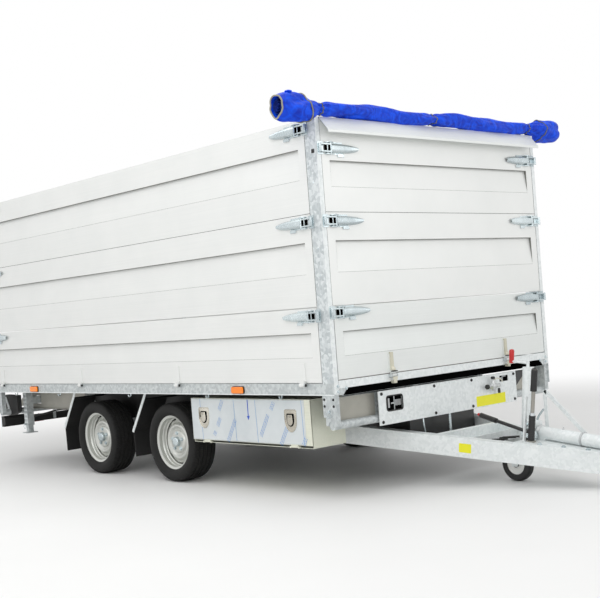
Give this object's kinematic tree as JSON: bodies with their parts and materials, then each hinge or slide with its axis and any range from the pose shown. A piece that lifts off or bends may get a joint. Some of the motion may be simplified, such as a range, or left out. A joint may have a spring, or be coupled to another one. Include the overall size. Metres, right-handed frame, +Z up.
{
  "type": "tipping trailer",
  "caption": "Twin-axle dump trailer: high board-walled bed that tips on a telescopic ram, V drawbar with overrun coupling, jockey wheel, prop legs, side toolbox and rolled cover.",
  "frame": {"origin": "on the ground, in the middle of the trailer's overall length and width", "axes": "+X towards the coupling, +Y to the left-hand side, +Z up"},
  "size_m": [5.6, 2.54, 2.2293],
  "materials": {
    "galvanised_steel": "hot-dip galvanised, spangled",
    "plate_steel": "galvanised plate, smooth",
    "anodised_aluminium": "anodised, satin",
    "deck_board": "phenolic-faced plywood",
    "cover_fabric": "coated woven sheet",
    "stainless_steel": "rolled, part covered in film",
    "gaiter_rubber": "moulded",
    "coupling_casting": "zinc plated",
    "black_lever": "black paint and grip",
    "unit_housing": "moulded",
    "guard_plastic": "moulded",
    "lamp_plastic": "lenses in a black bar",
    "rim_paint": "silver wheel paint",
    "tyre_rubber": "moulded tread",
    "cylinder_steel": "ground and plated"
  },
  "bodies": {
    "chassis": {"chassis_beams": "galvanised_steel", "tipping_tubes": "galvanised_steel", "chassis_cross_members": "galvanised_steel", "chassis_brackets": "galvanised_steel", "chassis_front_plate": "plate_steel", "drawbar": "galvanised_steel", "drawbar_tray": "galvanised_steel", "overrun_housing": "galvanised_steel", "bellows": "gaiter_rubber", "coupling_head": "coupling_casting", "handbrake_lever": "black_lever", "pump_lever": "black_lever", "jockey_outer_tube": "galvanised_steel", "hydraulic_unit": "unit_housing", "axle_tubes": "galvanised_steel", "axle_arms": "galvanised_steel", "mudguards": "guard_plastic", "toolbox_ends": "stainless_steel", "toolbox_floor_and_roof": "stainless_steel", "toolbox_back": "stainless_steel", "toolbox_hinges": "stainless_steel", "rear_light_bar": "lamp_plastic"},
    "bed": {"bed_rails": "galvanised_steel", "bed_end_beams": "galvanised_steel", "bed_bearers": "galvanised_steel", "bed_spars": "galvanised_steel", "bed_saddles": "galvanised_steel", "ram_socket": "galvanised_steel", "board_hinges": "galvanised_steel", "bed_floor": "deck_board", "corner_posts": "galvanised_steel", "boards_middle": "anodised_aluminium", "boards_upper": "anodised_aluminium", "front_cap": "anodised_aluminium", "cover_roll": "cover_fabric"},
    "drop_board_right": {"side_board_lower_right": "anodised_aluminium"},
    "drop_board_left": {"side_board_lower_left": "anodised_aluminium"},
    "drop_board_front": {"front_board_lower": "anodised_aluminium"},
    "tail_flap": {"tail_flap": "anodised_aluminium"},
    "toolbox_door": {"toolbox_door": "stainless_steel"},
    "jockey_slide": {"jockey_inner_tube": "galvanised_steel"},
    "jockey_wheel": {"jockey_wheel": "tyre_rubber"},
    "prop_leg_right": {"prop_leg_right": "galvanised_steel"},
    "prop_leg_left": {"prop_leg_left": "galvanised_steel"},
    "cylinder_barrel": {"cylinder_barrel": "cylinder_steel"},
    "cylinder_stage_1": {"cylinder_stage_1": "cylinder_steel"},
    "cylinder_stage_2": {"cylinder_stage_2": "cylinder_steel"},
    "cylinder_stage_3": {"cylinder_stage_3": "cylinder_steel"},
    "cylinder_stage_4": {"cylinder_stage_4": "cylinder_steel"},
    "wheel_front_right": {"rim_front_right": "rim_paint", "tyre_front_right": "tyre_rubber"},
    "wheel_front_left": {"rim_front_left": "rim_paint", "tyre_front_left": "tyre_rubber"},
    "wheel_rear_right": {"rim_rear_right": "rim_paint", "tyre_rear_right": "tyre_rubber"},
    "wheel_rear_left": {"rim_rear_left": "rim_paint", "tyre_rear_left": "tyre_rubber"}
  },
  "joints": [
    {"name": "wheel_front_right_spin", "type": "hinge", "parent": "chassis", "child": "wheel_front_right", "pos_m": [-0.348, -0.8265, 0.2625], "axis": [0, 1, 0], "continuous": true},
    {"name": "wheel_front_left_spin", "type": "hinge", "parent": "chassis", "child": "wheel_front_left", "pos_m": [-0.348, 0.8265, 0.2625], "axis": [0, 1, 0], "continuous": true},
    {"name": "wheel_rear_right_spin", "type": "hinge", "parent": "chassis", "child": "wheel_rear_right", "pos_m": [-1.284, -0.8265, 0.2625], "axis": [0, 1, 0], "continuous": true},
    {"name": "wheel_rear_left_spin", "type": "hinge", "parent": "chassis", "child": "wheel_rear_left", "pos_m": [-1.284, 0.8265, 0.2625], "axis": [0, 1, 0], "continuous": true},
    {"name": "bed_tip", "type": "hinge", "parent": "chassis", "child": "bed", "pos_m": [-2.64, 0, 0.425], "axis": [0, -1, 0], "range_deg": [0, 40]},
    {"name": "drop_board_right_hinge", "type": "hinge", "parent": "bed", "child": "drop_board_right", "pos_m": [-0.71, -1.004, 0.652], "axis": [1, 0, 0], "range_deg": [0, 172]},
    {"name": "drop_board_left_hinge", "type": "hinge", "parent": "bed", "child": "drop_board_left", "pos_m": [-0.71, 1.004, 0.652], "axis": [-1, 0, 0], "range_deg": [0, 172]},
    {"name": "drop_board_front_hinge", "type": "hinge", "parent": "bed", "child": "drop_board_front", "pos_m": [1.354, 0, 0.665], "axis": [0, 1, 0], "range_deg": [0, 90]},
    {"name": "tail_flap_hinge", "type": "hinge", "parent": "bed", "child": "tail_flap", "pos_m": [-2.745, 0, 1.048], "axis": [0, 1, 0], "range_deg": [0, 60]},
    {"name": "toolbox_door_hinge", "type": "hinge", "parent": "chassis", "child": "toolbox_door", "pos_m": [0.515, -0.946, 0.293], "axis": [-1, 0, 0], "range_deg": [-95, 0]},
    {"name": "jockey_height", "type": "slide", "parent": "chassis", "child": "jockey_slide", "axis": [0.1093, 0, 0.994], "range_m": [0, 0.08]},
    {"name": "jockey_wheel_spin", "type": "hinge", "parent": "jockey_slide", "child": "jockey_wheel", "pos_m": [1.78149, 0, 0.1], "axis": [0, 1, 0], "continuous": true},
    {"name": "prop_leg_right_slide", "type": "slide", "parent": "chassis", "child": "prop_leg_right", "axis": [0, 0, -1], "range_m": [0, 0.245]},
    {"name": "prop_leg_left_slide", "type": "slide", "parent": "chassis", "child": "prop_leg_left", "axis": [0, 0, -1], "range_m": [0, 0.245]},
    {"name": "cylinder_tilt", "type": "hinge", "parent": "chassis", "child": "cylinder_barrel", "pos_m": [-0.816, 0, 0.468], "axis": [0, -1, 0], "range_deg": [0, 23]},
    {"name": "cylinder_stage_1_slide", "type": "slide", "parent": "cylinder_barrel", "child": "cylinder_stage_1", "axis": [0, 0, 1], "range_m": [0, 0.311]},
    {"name": "cylinder_stage_2_slide", "type": "slide", "parent": "cylinder_stage_1", "child": "cylinder_stage_2", "axis": [0, 0, 1], "range_m": [0, 0.311]},
    {"name": "cylinder_stage_3_slide", "type": "slide", "parent": "cylinder_stage_2", "child": "cylinder_stage_3", "axis": [0, 0, 1], "range_m": [0, 0.311]},
    {"name": "cylinder_stage_4_slide", "type": "slide", "parent": "cylinder_stage_3", "child": "cylinder_stage_4", "axis": [0, 0, 1], "range_m": [0, 0.311]}
  ],
  "couplings": [
    {"joint": "cylinder_tilt", "follows": "bed_tip", "ratio": 0.56882},
    {"joint": "cylinder_stage_1_slide", "follows": "bed_tip", "m_per_rad": 0.44513},
    {"joint": "cylinder_stage_2_slide", "follows": "bed_tip", "m_per_rad": 0.44513},
    {"joint": "cylinder_stage_3_slide", "follows": "bed_tip", "m_per_rad": 0.44513},
    {"joint": "cylinder_stage_4_slide", "follows": "bed_tip", "m_per_rad": 0.44513}
  ]
}
